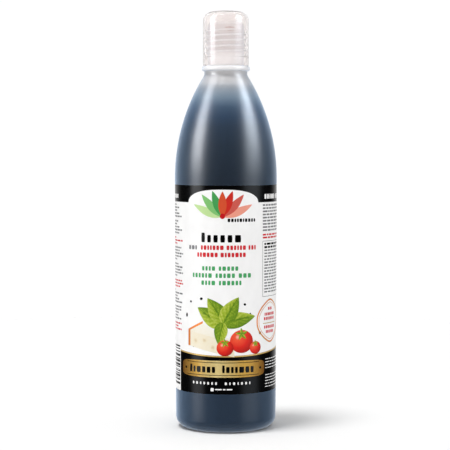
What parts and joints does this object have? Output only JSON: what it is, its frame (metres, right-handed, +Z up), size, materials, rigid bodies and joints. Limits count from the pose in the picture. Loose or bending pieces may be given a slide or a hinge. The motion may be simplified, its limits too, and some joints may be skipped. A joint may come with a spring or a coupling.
{
  "type": "balsamic glaze bottle",
  "caption": "Tall round squeeze bottle of dark balsamic glaze with a long sloping shoulder, wrap label, dripper insert and clear domed screw cap.",
  "frame": {"origin": "centre of the circle that the bottle stands on", "axes": "+Z up along the bottle's axis; the label's front faces -Y and its lapped seam +Y; +X to the right seen from the front"},
  "size_m": [0.0612, 0.0613, 0.2495],
  "materials": {
    "milky_plastic": "translucent milky blown plastic, semi-gloss",
    "glaze": "thick, nearly black, glossy glaze",
    "label_film": "white printed film, satin",
    "insert_plastic": "natural plastic, satin",
    "clear_plastic": "clear moulded plastic, gloss"
  },
  "bodies": {
    "root": {"bottle": "milky_plastic", "glaze": "glaze", "label": "label_film", "spout_insert": "insert_plastic", "cap": "clear_plastic"}
  },
  "joints": []
}
